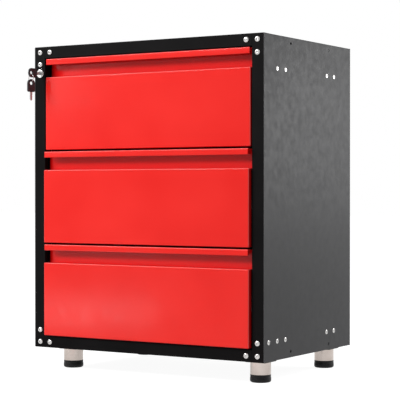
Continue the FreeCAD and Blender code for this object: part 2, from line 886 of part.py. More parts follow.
def build_drawer_front(number):
    """One folded sheet: a panel with returns all round, the recess's back wall above its shelf,
    and a lip that is folded down over the recess for the fingers."""
    body = drawer_body("drawer_front", number)
    half = front_width / 2
    top = front_height
    shelf = panel_height
    pad(body, "XZ", rectangle((-half, half), (0, shelf)), 0, recess_depth, reverse=True)
    fold(body, "x", [(0, 0), (0, shelf)], bend)
    doc.recompute()
    fold(body, "z", [(-half, 0), (half, 0)], bend)
    inside = half - steel
    pocket(body, "XZ", rectangle((-inside, inside), (steel, shelf - steel)), recess_depth,
           recess_depth - steel, reverse=True)
    hook = [
        (0, top - lip_height),
        (steel, top - lip_height),
        (steel, top - steel),
        (recess_depth - steel, top - steel),
        (recess_depth - steel, shelf - steel),
        (recess_depth, shelf - steel),
        (recess_depth, top),
        (0, top),
    ]
    pad(body, "YZ", hook, 0, front_width, both=True)
    fold(body, "x", [(0, top), (recess_depth, top)], bend)
    inner = bend - steel
    fold(body, "x", [(steel, top - steel), (recess_depth - steel, top - steel)], inner)
    for end in (-half, half - lip_inset):
        notch = rectangle((end, end + lip_inset), (top - lip_height, top))
        pocket(body, "XZ", notch, 0, recess_depth - bend)
    return body


def build_drawer_tray(number):
    """A sheet tray with rounded lower edges and an inward rim around its top."""
    body = drawer_body("drawer_tray", number)
    half = tray_width / 2
    front = recess_depth
    back = recess_depth + tray_length
    high = tray_lift + tray_height
    pad(body, "XY", rectangle((-half, half), (front, back)), tray_lift, tray_height)
    fold(body, "y", [(-half, tray_lift), (half, tray_lift)], bend)
    walls = rectangle((tray_steel - half, half - tray_steel), (front + tray_steel, back - tray_steel))
    pocket(body, "XY", walls, high, tray_height - tray_steel)
    rim = new_sketch(body, "XY", high - tray_steel)
    draw_outline(rim, rectangle((-half, half), (front, back)))
    open_x = half - tray_rim
    draw_outline(rim, rectangle((-open_x, open_x), (front + tray_rim, back - tray_rim)))
    extrude(body, "PartDesign::Pad", rim, tray_steel)
    return body


def build_lock_catch(number):
    """An angle on the tray's left side. Its tab stands behind a hook of the lock bar."""
    body = drawer_body("lock_catch", number)
    tray_side = -tray_width / 2
    tab = catch_front + closed_proud
    outline = [
        (tray_side, tab),
        (tray_side - catch_reach, tab),
        (tray_side - catch_reach, tab + catch_steel),
        (tray_side - catch_steel, tab + catch_steel),
        (tray_side - catch_steel, tab + catch_foot),
        (tray_side, tab + catch_foot),
    ]
    pad(body, "XY", outline, catch_level - hook_height / 2, hook_height)
    return body


# Lock

LOCK_X = lock_side - width / 2


def lock_piece(label, exported=True):
    """A body on the lock's axis, at the frame's face."""
    body = new_body(label, exported)
    place(body, LOCK_X, front_face, leg_height + lock_level)
    return body


def build_lock_body():
    """The barrel with its rosette, bored for the plug."""
    body = lock_piece("lock_body")
    disc(body, "XZ", (0, 0), rosette, 0, rosette_rise)
    disc(body, "XZ", (0, 0), lock_barrel, 0, lock_length, reverse=True)
    drill(body, "XZ", [(0, 0)], plug_bore + 2 * fit_gap, 0, 3 * lock_length, both=True)
    return body


def build_lock_nut():
    body = lock_piece("lock_nut")
    pad(body, "XZ", hexagon(nut_flats), steel, nut_height, reverse=True)
    drill(body, "XZ", [(0, 0)], lock_barrel + 2 * fit_gap, 0, 6 * nut_height, both=True)
    return body


def build_lock_plug():
    """The turning plug, slotted for the key."""
    body = lock_piece("lock_plug")
    length = rosette_rise + lock_length
    disc(body, "XZ", (0, 0), plug_bore, -rosette_rise, length + fit_gap, reverse=True)
    slot_half = blade_steel / 2 + fit_gap
    high = blade / 2 + fit_gap
    slot = rectangle((-slot_half, slot_half), (-high, high))
    pocket(body, "XZ", slot, -rosette_rise, blade_length + fit_gap)
    return body


def build_lock_cam():
    """A plate on the plug's end with a pin that lifts the lock bar."""
    body = lock_piece("lock_cam")
    front = lock_length + fit_gap
    inner = plug_bore / 2
    wide = pin / 2 + cam_rim
    disc(body, "XZ", (0, 0), plug_bore, front, cam_steel, reverse=True)
    disc(body, "XZ", (-pin_across, -pin_drop), 2 * wide, front, cam_steel, reverse=True)
    along = (-cosine(cam_swing), -sine(cam_swing))
    aside = (sine(cam_swing), -cosine(cam_swing))
    arm = []
    corners = ((0, -inner), (cam_reach, -wide), (cam_reach, wide), (0, inner))
    for reach, half in corners:
        arm.append(tuple(reach * a + half * s for a, s in zip(along, aside)))
    pad(body, "XZ", arm, front, cam_steel, reverse=True)
    pin_length = bar_front + bar_steel + slot_gap - front
    disc(body, "XZ", (-pin_across, -pin_drop), pin, front, pin_length, reverse=True)
    return body


def build_lock_bar():
    """A flat bar with a slot for the cam's pin and one hook for each drawer, lowered at rest."""
    body = lock_piece("lock_bar")
    left = bar_side - lock_side
    right = left + bar_width
    tip = right + hook_reach
    low = drawer_bottom(drawer_count) + guide_level - bar_tail - lock_level
    outline = [(left, bar_rise), (left, low), (right, low)]
    for number in range(drawer_count, 0, -1):
        hook = drawer_bottom(number) + catch_level - bar_lift - hook_height / 2 - lock_level
        hook_top = hook + hook_height
        outline += [(right, hook), (tip, hook), (tip, hook_top), (right, hook_top)]
    outline.append((right, bar_rise))
    pad(body, "XZ", outline, bar_front, bar_steel, reverse=True)
    round_pin = pin / 2 + slot_gap
    slot = rectangle((-cam_reach - round_pin, round_pin - pin_across),
                     (-pin_drop - round_pin, round_pin - pin_drop))
    pocket(body, "XZ", slot, bar_front, 3 * bar_steel, both=True)
    return body


def build_bar_guides():
    """Three blocks on the side panel, each with a slot that the lock bar slides in."""
    outer = steel - width / 2
    inner = bar_side + bar_width + fit_gap + steel - width / 2
    front = bar_front - slot_gap - guide_wall
    back = bar_front + bar_steel + slot_gap + guide_wall
    guides = []
    for number in range(1, drawer_count + 1):
        level = drawer_bottom(number) + guide_level
        guide = carcass_body("bar_guide", exported=False)
        pad(guide, "XY", rectangle((outer, inner), (front, back)), level, guide_height)
        slot_x = (bar_side - fit_gap - width / 2, bar_side + bar_width + fit_gap - width / 2)
        slot_y = (bar_front - slot_gap, bar_front + bar_steel + slot_gap)
        pocket(guide, "XY", rectangle(slot_x, slot_y), level, guide_height, reverse=True)
        guides.append(guide)
    join("bar_guides", guides)


# Keys and ring

# Share of the blade's length and whether the blade is cut there, from the tip to the bow
BLADE_CUTS = ((0.7, 1), (0.55, 0), (0.4, 1), (0.25, 0))


def build_key(label, blade_out):
    """A flat key in its own XZ plane, as a cut blade below a moulded bow, with the bow's root at
    the origin and the blade pointing down. It is turned to its place afterwards."""
    body = new_body(label)
    half = bow_width / 2
    pad(body, "XZ", rectangle((-half, half), (0, bow_length)), 0, bow_thick, both=True)
    fold(body, "y", [(-half, bow_length), (half, bow_length)], bow_share * bow_width)
    fold(body, "y", [(-half, 0), (half, 0)], bow_root)
    drill(body, "XZ", [(0, bow_length - hole_inset)], bow_hole, 0, 2 * bow_thick, both=True)
    edge = blade / 2
    cuts = [(edge - cut_depth * blade_cut, -blade_out * share) for share, cut_depth in BLADE_CUTS]
    point = [(-blade_cut, -blade_out), (blade_cut, -blade_out)]
    shoulder = edge - blade_out
    outline = [(-edge, steel), (-edge, shoulder), *point, (edge, shoulder), *cuts, (edge, steel)]
    pad(body, "XZ", outline, 0, blade_steel, both=True)
    return body


def turn_body(body, turn, x, y, z):
    """Turn a body about its own origin and put it at a point of the row frame."""
    body.Placement = FreeCAD.Placement(FreeCAD.Vector(), turn)
    place(body, x, y, z)


def build_keys():
    """The key in the plug, the ring through its bow, and the spare key that hangs on the ring."""
    lock_z = leg_height + lock_level
    key = build_key("key", blade_show - rosette_rise + blade_length - 2 * fit_gap)
    stand = turn_about((0, 0, 1), 90)
    point_in = turn_about((1, 0, 0), 90)
    turn_body(key, point_in * stand, LOCK_X, front_face - blade_show, lock_z)
    hang_y = front_face - key_reach + hole_inset
    slack = bow_hole / 2 - ring_wire / 2 - ring_play
    ring_z = lock_z - slack - ring_round / 2
    ring = doc.addObject("Part::Torus", "key_ring")
    ring.Label = "key_ring"
    ring.setExpression("Radius1", (ring_round / 2).formula)
    ring.setExpression("Radius2", (ring_wire / 2).formula)
    face_front = turn_about((1, 0, 0), 90)
    turn_body(ring, turn_about((0, 0, 1), -ring_turn.value) * face_front, LOCK_X, hang_y, ring_z)
    pieces["key_ring"] = ring
    spare = build_key("spare_key", blade_length)
    spare_hole = ring_z - ring_round / 2 - slack
    spare_z = spare_hole - bow_length + hole_inset
    turn_body(spare, turn_about((0, 0, 1), 90 - spare_turn.value), LOCK_X, hang_y, spare_z)


# Legs and feet

def foot_places():
    """Name and place of each foot's axis."""
    rows = {"front": front_face + foot_front, "rear": front_face + depth - foot_rear}
    places = {}
    for row, y in rows.items():
        for name, side in SIDES.items():
            places[f"{row}_{name}"] = (side * (width / 2 - foot_side), y)
    return places


def build_leg_plates():
    """Moulded plates that carry the tubes, each with rounded corners and lower edge."""
    plate = new_body("leg_plate", exported=False)
    half = leg_plate / 2
    signs = [(i, j) for i in (-1, 1) for j in (-1, 1)]
    pad(plate, "XY", rectangle((-half, half), (-half, half)), tube_top, leg_plate_high)
    fold(plate, "z", [(i * half, j * half) for i, j in signs], leg_plate_round)
    fold(plate, "x", [(-half, tube_top)], leg_plate_rim)
    corners = [(i * leg_screws / 2, j * leg_screws / 2) for i, j in signs]
    drill(plate, "XY", corners, leg_bore, 0, 3 * leg_plate_high, both=True)
    places = [(x, y, leg_height, NO_TURN) for x, y in foot_places().values()]
    return scatter("leg_plates", plate, places)


def build_leg_tubes():
    """Tubes under the plates, each closed near its lower end by the disc that the stem turns in."""
    low = cap_height - leg_height
    leg = new_body("leg_tube", exported=False)
    disc(leg, "XY", (0, 0), tube, low, tube_top - low)
    drill(leg, "XY", [(0, 0)], tube - 2 * tube_wall, tube_top, tube_top - low - nut_plate)
    drill(leg, "XY", [(0, 0)], stem + 2 * fit_gap, tube_top, None)
    places = [(x, y, leg_height, NO_TURN) for x, y in foot_places().values()]
    return scatter("leg_tubes", leg, places)


def build_foot(name, x, y):
    """A cap with a rounded lower rim, and the stem that is moulded into it."""
    body = new_body(f"foot_{name}")
    place(body, x, y, 0)
    half = cap / 2
    waist = half - cap_step
    outline = [
        (0, 0),
        (half, 0),
        (half, cap_tread),
        (waist, cap_tread + cap_slope),
        (waist, cap_height),
        (stem / 2, cap_height),
        (stem / 2, cap_height + stem_rise),
        (0, cap_height + stem_rise),
    ]
    sketch = new_sketch(body, "XZ")
    draw_outline(sketch, outline)
    turned = body.newObject("PartDesign::Revolution", "Turned")
    turned.Profile = sketch
    turned.ReferenceAxis = (sketch, ["V_Axis"])
    turned.Angle = 360
    body.Tip = turned
    dress_rim(body, "Fillet", "z", 0, "Radius", cap_round)
    return body


# The whole cabinet

for name, side in SIDES.items():
    build_side_panel(name, side)
build_top_panel()
build_bottom_panel()
build_back_panel()
build_back_rivets()
for name, side in SIDES.items():
    build_stile(name, side)
build_rail("top", body_height - rail_height, body_height)
build_rail("bottom", as_size(0), rail_height)
build_corner_plates()
build_frame_screws()
build_side_screws()
for place_name, middle in UPRIGHTS.items():
    for name, side in SIDES.items():
        build_upright(place_name, middle, name, side)
for number in range(1, drawer_count + 1):
    for name, side in SIDES.items():
        build_runner(number, name, side)
    build_runner_glides(number)
    build_drawer_runners(number)
    build_drawer_front(number)
    build_drawer_tray(number)
    build_lock_catch(number)
build_lock_body()
build_lock_nut()
build_lock_plug()
build_lock_cam()
build_lock_bar()
build_bar_guides()
build_keys()
build_leg_plates()
build_leg_tubes()
for name, (x, y) in foot_places().items():
    build_foot(name, x, y)

doc.recompute()

for item in doc.Objects:
    if "Invalid" in item.State or "Error" in item.State:
        raise ValueError(f"{item.Label} could not be built: {item.State}")
for label, piece in pieces.items():
    if piece.Shape.isNull() or not piece.Shape.isValid() or piece.Shape.Volume <= 0:
        raise ValueError(f"{label} has no sound shape")

os.makedirs("parts", exist_ok=True)
for label, piece in pieces.items():
    piece.Shape.exportStep(f"parts/{label}.step")
    print(f"{label}: {len(piece.Shape.Solids)} solids, {piece.Shape.Volume / 1000:.2f} cm3")
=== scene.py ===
import json
import math

import bmesh
import bpy
from mathutils import Matrix, Vector


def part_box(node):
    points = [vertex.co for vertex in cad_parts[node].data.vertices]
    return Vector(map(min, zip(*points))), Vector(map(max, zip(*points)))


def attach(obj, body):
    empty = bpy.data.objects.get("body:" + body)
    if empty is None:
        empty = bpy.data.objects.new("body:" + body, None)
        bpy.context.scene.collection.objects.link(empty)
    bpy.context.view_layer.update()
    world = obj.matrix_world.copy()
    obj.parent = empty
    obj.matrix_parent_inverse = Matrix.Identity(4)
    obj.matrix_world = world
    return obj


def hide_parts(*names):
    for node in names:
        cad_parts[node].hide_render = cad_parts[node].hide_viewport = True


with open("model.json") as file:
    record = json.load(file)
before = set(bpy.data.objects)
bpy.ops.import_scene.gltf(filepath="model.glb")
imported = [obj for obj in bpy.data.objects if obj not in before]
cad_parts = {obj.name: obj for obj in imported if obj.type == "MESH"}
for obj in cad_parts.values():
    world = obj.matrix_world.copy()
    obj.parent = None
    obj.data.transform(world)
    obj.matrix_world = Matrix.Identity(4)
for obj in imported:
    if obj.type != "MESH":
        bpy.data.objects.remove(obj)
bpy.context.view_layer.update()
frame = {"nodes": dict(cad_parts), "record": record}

# A free-standing steel tool cabinet with three red drawers. Lengths are in metres, in the
# shared frame, where the fronts look toward -Y

MM = 0.001
SHEET = 1.2 * MM
BEND = 2.5 * MM
BEND_STEPS = 6
DRAWERS = (1, 2, 3)
FEET = ("front_left", "front_right", "rear_left", "rear_right")

# Points closer than this are one point, and so are those that agree to so many digits
WELD = 1e-6
WELD_DIGITS = 6

# Steps in the rounded edges of plates and in the round of wires
PLATE_ROUNDING = 3
WIRE_ROUNDING = 4

# Angles in degrees over which an edge stays sharp, by kind of piece
HEAD_CREASE = 25
SHEET_CREASE = 30
KEY_CREASE = 40
PANEL_CREASE = 50
THREAD_CREASE = 60


# Frame measures

def span(node):
    """Lowest and highest corner of a node at rest."""
    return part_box(node)


def middle(node):
    """Centre of a node's box at rest."""
    low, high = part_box(node)
    return (low + high) / 2


def on_base(low, high):
    """A matrix that stands a piece on the middle of a box's base."""
    return Matrix.Translation(((low.x + high.x) / 2, (low.y + high.y) / 2, low.z))


# Outlines

def arc(centre, radius, start, end, steps):
    """Points of an arc between two angles in degrees."""
    points = []
    for i in range(steps + 1):
        angle = math.radians(start + (end - start) * i / steps)
        cos, sin = math.cos(angle), math.sin(angle)
        points.append((centre[0] + radius * cos, centre[1] + radius * sin))
    return points


def rounded(points, radius):
    """The open path through the points with its corners rounded."""
    path = []
    ends = (0, len(points) - 1)
    for i, point in enumerate(points):
        here = Vector(point)
        if i in ends:
            path.append(tuple(here))
            continue
        before = (Vector(points[i - 1]) - here).normalized()
        after = (Vector(points[i + 1]) - here).normalized()
        half = before.angle(after) / 2
        reach = radius / math.tan(half)
        centre = here + (before + after).normalized() * (radius / math.sin(half))
        first = here + before * reach - centre
        last = here + after * reach - centre
        sweep = first.angle_signed(last)
        for k in range(BEND_STEPS + 1):
            turn = -sweep * k / BEND_STEPS
            cos, sin = math.cos(turn), math.sin(turn)
            spoke = Vector((first.x * cos - first.y * sin, first.x * sin + first.y * cos))
            path.append(tuple(centre + spoke))
    return path


def ribbon(path, thickness):
    """The closed outline of a strip of sheet that follows an open path."""
    sides = ([], [])
    for i, point in enumerate(path):
        before = Vector(path[max(i - 1, 0)])
        after = Vector(path[min(i + 1, len(path) - 1)])
        along = (after - before).normalized()
        normal = Vector((-along.y, along.x)) * thickness / 2
        sides[0].append(tuple(Vector(point) + normal))
        sides[1].append(tuple(Vector(point) - normal))
    return sides[0] + sides[1][::-1]


# Meshes

def prism(bm, outline, low, high):
    """Extrude a closed outline in Y and Z between two distances along X."""
    rows = [[bm.verts.new((x, y, z)) for y, z in outline] for x in (low, high)]
    count = len(outline)
    for i in range(count):
        k = (i + 1) % count
        bm.faces.new((rows[0][i], rows[0][k], rows[1][k], rows[1][i]))
    bm.faces.new(rows[0][::-1])
    bm.faces.new(rows[1])


def round_angles(count):
    """The angles of so many points all the way round."""
    return [2 * math.pi * i / count for i in range(count)]


def round_ring(radius, height, count):
    """A ring of points on a circle."""
    return [
        (radius * math.cos(turn), radius * math.sin(turn), height)
        for turn in round_angles(count)
    ]


def hexagon_ring(flats, height, count):
    """A ring of points on a hexagon's outline."""
    ring = []
    for turn in round_angles(count):
        from_flat = turn % (math.pi / 3) - math.pi / 6
        radius = flats / 2 / math.cos(from_flat)
        ring.append((radius * math.cos(turn), radius * math.sin(turn), height))
    return ring


def slot_ring(width, length, height, count):
    """A ring of points on a rectangle's outline."""
    tiny = 1e-9
    ring = []
    for turn in round_angles(count):
        cos, sin = math.cos(turn), math.sin(turn)
        radius = min(width / 2 / max(abs(cos), tiny), length / 2 / max(abs(sin), tiny))
        ring.append((radius * cos, radius * sin, height))
    return ring


def loft(bm, rings, matrix, closed=False):
    """Skin a list of rings. It is capped at both ends unless it closes on itself."""
    rows = [[bm.verts.new(matrix @ Vector(point)) for point in ring] for ring in rings]
    count = len(rows[0])
    pairs = list(zip(rows, rows[1:]))
    if closed:
        pairs.append((rows[-1], rows[0]))
    for lower, upper in pairs:
        for i in range(count):
            k = (i + 1) % count
            bm.faces.new((lower[i], lower[k], upper[k], upper[i]))
    if not closed:
        bm.faces.new(rows[0][::-1])
        bm.faces.new(rows[-1])


def turned(profile, count):
    """The rings of a profile of radius and height pairs."""
    return [round_ring(radius, height, count) for radius, height in profile]


def finished(name, bm, crease):
    """An object from a mesh, shaded smooth except over edges sharper than the crease."""
    bmesh.ops.recalc_face_normals(bm, faces=bm.faces)
    mesh = bpy.data.meshes.new(name)
    bm.to_mesh(mesh)
    bm.free()
    for polygon in mesh.polygons:
        polygon.use_smooth = True
    mesh.set_sharp_from_angle(angle=math.radians(crease))
    item = bpy.data.objects.new(name, mesh)
    bpy.context.scene.collection.objects.link(item)
    return item


def crease_faces(item, area):
    """Shade the faces over an area flat, up to a crease along each of their edges."""
    mesh = item.data
    large = {
        tuple(sorted(key)) for p in mesh.polygons if p.area > area for key in p.edge_keys
    }
    for edge in mesh.edges:
        if tuple(sorted(edge.vertices)) in large:
            edge.use_edge_sharp = True


def curve_mesh(curve):
    """The mesh that a curve makes."""
    shape = bpy.data.objects.new(curve.name, curve)
    bpy.context.scene.collection.objects.link(shape)
    bpy.context.view_layer.update()
    state = bpy.context.evaluated_depsgraph_get()
    mesh = bpy.data.meshes.new_from_object(shape.evaluated_get(state))
    bpy.data.objects.remove(shape)
    bm = bmesh.new()
    bm.from_mesh(mesh)
    return bm


def plate(name, outlines, thickness, edge):
    """A flat plate in its own XY plane, with holes and rounded edges, as a mesh."""
    curve = bpy.data.curves.new(name, "CURVE")
    curve.dimensions = "2D"
    curve.fill_mode = "BOTH"
    curve.extrude = thickness / 2 - edge
    curve.bevel_depth = edge
    curve.offset = -edge
    curve.bevel_resolution = PLATE_ROUNDING
    for outline in outlines:
        spline = curve.splines.new("POLY")
        spline.points.add(len(outline) - 1)
        for point, (x, y) in zip(spline.points, outline):
            point.co = (x, y, 0, 1)
        spline.use_cyclic_u = True
    bm = curve_mesh(curve)
    bmesh.ops.remove_doubles(bm, verts=bm.verts, dist=WELD)
    return bm


def add_piece(item, body, nodes, slot, paint=None):
    """Paint a piece by its slot or a finer name, and let it ride and stand for its nodes."""
    item.data.materials.append(PAINTS[paint or slot])
    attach(item, body)
    if nodes:
        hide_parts(*nodes)


# Materials

BEVEL_SAMPLES = 4
HOLLOW_SAMPLES = 8

# Ranges of a cosine or of openness over which edges, folds and hollows fade out
EDGE_RANGE = (0.75, 0.98)
FOLD_RANGE = (0.85, 0.96)
UPWARD_RANGE = (-0.35, -0.1)
HOLLOW_RANGE = (0.45, 0.95)


class Nodes:
    """A material's node tree, and short ways to add to it."""

    def __init__(self, name):
        self.material = bpy.data.materials.new(name)
        self.material.use_nodes = True
        self.tree = self.material.node_tree
        self.shader = self.tree.nodes["Principled BSDF"]
        coordinates = self.add("ShaderNodeTexCoord")
        self.place = coordinates.outputs["Object"]
        self.normal = coordinates.outputs["Normal"]

    def add(self, kind, **settings):
        """A new node of a kind."""
        node = self.tree.nodes.new(kind)
        for name, value in settings.items():
            setattr(node, name, value)
        return node

    def link(self, source, target):
        """Join an output to an input."""
        self.tree.links.new(source, target)

    def stretched(self, scale):
        """Object coordinates scaled by axis."""
        mapping = self.add("ShaderNodeMapping")
        mapping.inputs["Scale"].default_value = scale
        self.link(self.place, mapping.inputs["Vector"])
        return mapping.outputs["Vector"]

    def noise(self, scale, detail=3.0, roughness=0.5, stretch=None):
        """Noise with so many waves a metre."""
        node = self.add("ShaderNodeTexNoise")
        node.inputs["Scale"].default_value = scale
        node.inputs["Detail"].default_value = detail
        node.inputs["Roughness"].default_value = roughness
        self.link(self.stretched(stretch) if stretch else self.place, node.inputs["Vector"])
        return node.outputs["Fac"]

    def between(self, factor, low, high, start=0.3, end=0.7):
        """A number that runs from low to high as the factor runs from start to end."""
        node = self.add("ShaderNodeMapRange")
        ends = {"From Min": start, "From Max": end, "To Min": low, "To Max": high}
        for name, value in ends.items():
            node.inputs[name].default_value = value
        self.link(factor, node.inputs["Value"])
        return node.outputs["Result"]

    def mixed(self, factor, first, second):
        """A colour between two colours or colour outputs."""
        node = self.add("ShaderNodeMix", data_type="RGBA")
        self.link(factor, node.inputs["Factor"])
        for name, colour in (("A", first), ("B", second)):
            socket = [s for s in node.inputs if s.name == name and s.type == "RGBA"][0]
            if isinstance(colour, tuple):
                socket.default_value = (*colour, 1)
            else:
                self.link(colour, socket)
        return [s for s in node.outputs if s.type == "RGBA"][0]

    def tones(self, noise, dark, light, start=0.3, end=0.7):
        """A colour that wanders with the noise from one colour to another."""
        return self.mixed(self.between(noise, 0, 1, start, end), dark, light)

    def edges(self, radius):
        """1 along the edges and 0 on the flats, from the difference to the rounded normal."""
        geometry = self.add("ShaderNodeNewGeometry")
        dot = self.add("ShaderNodeVectorMath", operation="DOT_PRODUCT")
        self.link(self.softened(radius), dot.inputs[0])
        self.link(geometry.outputs["Normal"], dot.inputs[1])
        return self.between(dot.outputs["Value"], 1, 0, *EDGE_RANGE)

    def wear_and_painted_highlight(self, colour, radius, edge):
        """The colour with a paler one along its edges: partly wear and partly a painted
        highlight.
        """
        return self.mixed(self.edges(radius), colour, edge)

    def maths(self, operation, first, second):
        """A number from two numbers."""
        node = self.add("ShaderNodeMath", operation=operation)
        self.link(first, node.inputs[0])
        self.link(second, node.inputs[1])
        return node.outputs["Value"]

    def folds(self):
        """1 on folds that look up or sideways and 0 on flats, from the object's normal: the
        mask of the painted highlight on the red folds.
        """
        size = self.add("ShaderNodeVectorMath", operation="ABSOLUTE")
        self.link(self.normal, size.inputs[0])
        parts = self.add("ShaderNodeSeparateXYZ")
        self.link(size.outputs["Vector"], parts.inputs["Vector"])
        flat = self.maths("MAXIMUM", parts.outputs["X"], parts.outputs["Y"])
        flat = self.maths("MAXIMUM", flat, parts.outputs["Z"])
        signed = self.add("ShaderNodeSeparateXYZ")
        self.link(self.normal, signed.inputs["Vector"])
        upward = self.between(signed.outputs["Z"], 0, 1, *UPWARD_RANGE)
        return self.maths("MULTIPLY", self.between(flat, 1, 0, *FOLD_RANGE), upward)

    def hollows(self, distance):
        """1 in corners and recesses and 0 in the open: the mask of the painted shade in the
        red enamel.
        """
        node = self.add("ShaderNodeAmbientOcclusion", samples=HOLLOW_SAMPLES)
        node.inputs["Distance"].default_value = distance
        return self.between(node.outputs["AO"], 1, 0, *HOLLOW_RANGE)

    def softened(self, radius):
        """A normal that rounds sharp edges."""
        bevel = self.add("ShaderNodeBevel", samples=BEVEL_SAMPLES)
        bevel.inputs["Radius"].default_value = radius
        return bevel.outputs["Normal"]

    def bump(self, height, strength, distance, below=None):
        """A normal that follows a height, over another normal."""
        node = self.add("ShaderNodeBump")
        node.inputs["Strength"].default_value = strength
        node.inputs["Distance"].default_value = distance
        self.link(height, node.inputs["Height"])
        if below is not None:
            self.link(below, node.inputs["Normal"])
        return node.outputs["Normal"]

    def relief(self, height, strength, distance, soften):
        """A normal that follows a height, over edges rounded by a radius."""
        return self.bump(height, strength, distance, self.softened(soften))

    def finish(self, colour, roughness, normal, **constants):
        """The material, with its shader linked and its other sockets set."""
        self.link(colour, self.shader.inputs["Base Color"])
        self.link(roughness, self.shader.inputs["Roughness"])
        self.link(normal, self.shader.inputs["Normal"])
        for name, value in constants.items():
            self.shader.inputs[name.replace("_", " ")].default_value = value
        return self.material


def red_enamel():
    """Gloss red enamel with waves and orange peel, with painted shade in its hollows and a
    painted highlight on the folds that face up or sideways.
    """
    n = Nodes("red_enamel")
    painted_shade, painted_highlight = (0.66, 0.004, 0.005), (0.96, 0.105, 0.1)
    cloud = n.noise(scale=5, detail=2)
    colour = n.tones(cloud, dark=(0.88, 0.013, 0.009), light=(0.95, 0.023, 0.017))
    # Painted shade: a darker red in hollows, where the lip and the frame shade the recess
    colour = n.mixed(n.hollows(distance=40 * MM), colour, painted_shade)
    # Painted highlight: a paler red on the folds that face up or sideways, where lamps glint
    colour = n.mixed(n.folds(), colour, painted_highlight)
    roughness = n.between(n.noise(scale=40, detail=4), low=0.14, high=0.22)
    swell = n.noise(scale=7, detail=1)
    waves = n.relief(swell, strength=0.6, distance=1.2 * MM, soften=0.5 * MM)
    grain = n.noise(scale=900, detail=1)
    peel = n.bump(grain, strength=0.10, distance=0.05 * MM, below=waves)
    return n.finish(colour, roughness, peel, Specular_IOR_Level=0.2)


def charcoal_paint():
    """Satin grey powder coat: fine grain, slow change of tone, and edges paler from wear and
    from a painted highlight.
    """
    n = Nodes("charcoal_paint")
    speckle = (0.078, 0.078, 0.080)
    cloud = n.noise(scale=4)
    colour = n.tones(cloud, dark=(0.058, 0.058, 0.060), light=(0.068, 0.068, 0.070))
    colour = n.mixed(n.noise(scale=2200, detail=2), colour, speckle)
    colour = n.wear_and_painted_highlight(colour, radius=0.8 * MM, edge=(0.15, 0.15, 0.15))
    roughness = n.between(n.noise(scale=60, detail=4), low=0.42, high=0.54)
    powder = n.noise(scale=1500, detail=2)
    grain = n.relief(powder, strength=0.25, distance=0.06 * MM, soften=0.6 * MM)
    return n.finish(colour, roughness, grain, Specular_IOR_Level=0.08)


def black_paint():
    """Black satin powder coat of the front frame."""
    n = Nodes("black_paint")
    cloud = n.noise(scale=9)
    colour = n.tones(cloud, dark=(0.0025, 0.0022, 0.0024), light=(0.0055, 0.005, 0.0052))
    colour = n.wear_and_painted_highlight(colour, radius=0.6 * MM, edge=(0.022, 0.022, 0.022))
    roughness = n.between(n.noise(scale=80, detail=4), low=0.4, high=0.55)
    powder = n.noise(scale=1600, detail=2)
    grain = n.relief(powder, strength=0.3, distance=0.06 * MM, soften=0.5 * MM)
    return n.finish(colour, roughness, grain, Specular_IOR_Level=0.04)


def tray_paint():
    """Darker paint of the trays, dulled by the things kept in them."""
    n = Nodes("tray_paint")
    scuffs = n.noise(scale=35, detail=5, roughness=0.7, stretch=(1, 0.15, 1))
    dark, light = (0.045, 0.045, 0.048), (0.075, 0.075, 0.078)
    colour = n.tones(scuffs, dark, light, start=0.45, end=0.75)
    colour = n.wear_and_painted_highlight(colour, radius=0.8 * MM, edge=(0.14, 0.14, 0.14))
    roughness = n.between(scuffs, low=0.4, high=0.6)
    powder = n.noise(scale=1400, detail=2)
    grain = n.relief(powder, strength=0.25, distance=0.05 * MM, soften=0.5 * MM)
    return n.finish(colour, roughness, grain)


def zinc_plate():
    """Zinc-plated steel with drawn lines and dull patches."""
    n = Nodes("zinc_plate")
    patches = n.noise(scale=60, detail=4, roughness=0.6)
    colour = n.tones(patches, dark=(0.50, 0.51, 0.52), light=(0.66, 0.665, 0.66))
    colour = n.wear_and_painted_highlight(colour, radius=0.4 * MM, edge=(0.75, 0.75, 0.74))
    roughness = n.between(patches, low=0.28, high=0.42)
    lines = n.noise(scale=900, detail=2, stretch=(1, 0.02, 1))
    drawn = n.relief(lines, strength=0.15, distance=0.03 * MM, soften=0.3 * MM)
    return n.finish(colour, roughness, drawn, Metallic=1.0)


def black_zinc():
    """Black passivated zinc of the uprights, seen through the joining holes."""
    n = Nodes("black_zinc")
    patches = n.noise(scale=60, detail=4, roughness=0.6)
    colour = n.tones(patches, dark=(0.016, 0.016, 0.018), light=(0.028, 0.028, 0.03))
    colour = n.wear_and_painted_highlight(colour, radius=0.4 * MM, edge=(0.09, 0.09, 0.095))
    roughness = n.between(patches, low=0.38, high=0.52)
    lines = n.noise(scale=900, detail=2, stretch=(1, 1, 0.02))
    drawn = n.relief(lines, strength=0.15, distance=0.03 * MM, soften=0.3 * MM)
    return n.finish(colour, roughness, drawn, Metallic=0.7)


def bright_steel():
    """Nickel-plated steel of screws, lock and ring."""
    n = Nodes("bright_steel")
    spots = n.noise(scale=500)
    colour = n.tones(spots, dark=(0.46, 0.45, 0.44), light=(0.58, 0.57, 0.56))
    roughness = n.between(n.noise(scale=250), low=0.14, high=0.26)
    haze = n.noise(scale=1500, detail=1)
    polish = n.relief(haze, strength=0.1, distance=0.03 * MM, soften=0.15 * MM)
    return n.finish(colour, roughness, polish, Metallic=1.0)


def key_steel():
    """Satin steel of the key blades, dulled by use."""
    n = Nodes("key_steel")
    spots = n.noise(scale=300)
    colour = n.tones(spots, dark=(0.36, 0.36, 0.355), light=(0.46, 0.46, 0.45))
    colour = n.wear_and_painted_highlight(colour, radius=0.3 * MM, edge=(0.66, 0.66, 0.65))
    roughness = n.between(n.noise(scale=400), low=0.4, high=0.55)
    lines = n.noise(scale=1200, detail=2, stretch=(1, 1, 0.05))
    strokes = n.relief(lines, strength=0.15, distance=0.03 * MM, soften=0.15 * MM)
    return n.finish(colour, roughness, strokes, Metallic=0.6)


